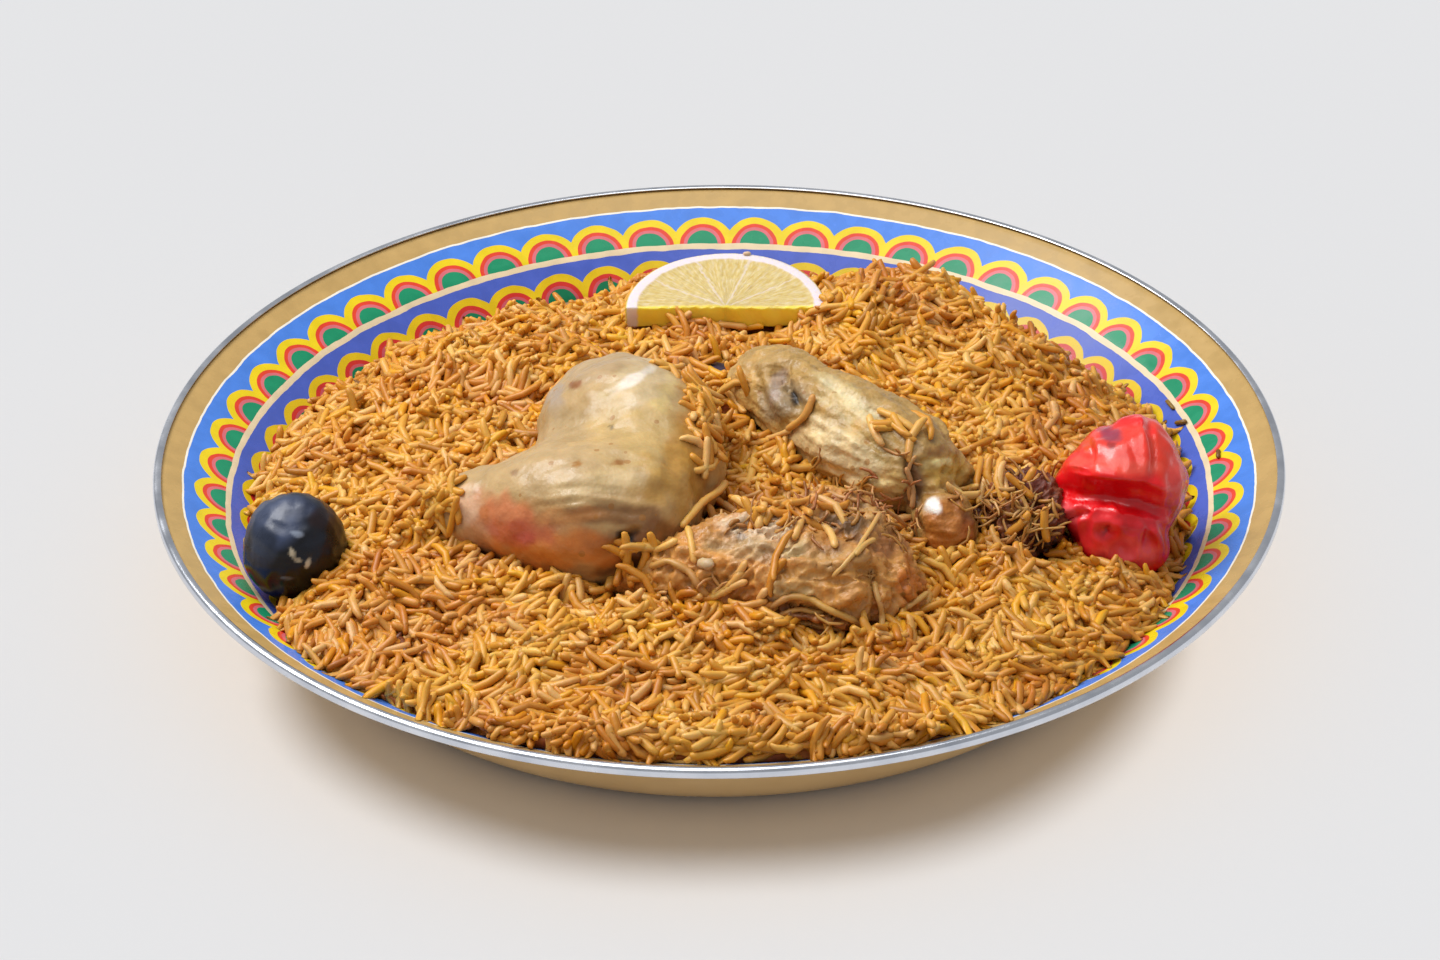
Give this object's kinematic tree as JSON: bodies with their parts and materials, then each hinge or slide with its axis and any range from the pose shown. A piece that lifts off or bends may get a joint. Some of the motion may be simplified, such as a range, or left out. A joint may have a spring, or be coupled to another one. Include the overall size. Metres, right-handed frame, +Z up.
{
  "type": "plate of madghout, spiced rice with chicken",
  "caption": "Wide enamelled steel plate heaped with spiced long-grain rice, with stewed chicken, lemon, red pepper and black lime on top.",
  "frame": {"origin": "centre of the plate's flat base, on the table", "axes": "+Z up; the lemon lies towards +Y, the black lime towards -X and the red pepper towards +X"},
  "size_m": [0.34, 0.34, 0.0793],
  "materials": {
    "enamel": "cream vitreous enamel, glossy, with two rings of printed scallops in blue, yellow, red and green",
    "rim_steel": "thin rolled stainless steel edge",
    "rice": "moist spiced rice, soft sheen",
    "chicken_skin": "stewed chicken skin, moist",
    "thigh_skin": "stewed wrinkled chicken skin, moist",
    "meat": "dark braised meat, moist",
    "lemon": "cut lemon, wet pulp and pale pith",
    "pepper": "stewed red pepper skin, glossy",
    "lime": "black lime rind, glossy",
    "olive": "dark purple black skin, glossy"
  },
  "bodies": {
    "root": {"plate": "enamel", "rim_band": "rim_steel", "rice_heap": "rice", "chicken_leg_left": "chicken_skin", "chicken_leg_right": "chicken_skin", "chicken_thigh_right": "thigh_skin", "braised_meat": "meat", "lemon_slice": "lemon", "red_pepper": "pepper", "black_lime": "lime", "black_olive": "olive"}
  },
  "joints": []
}
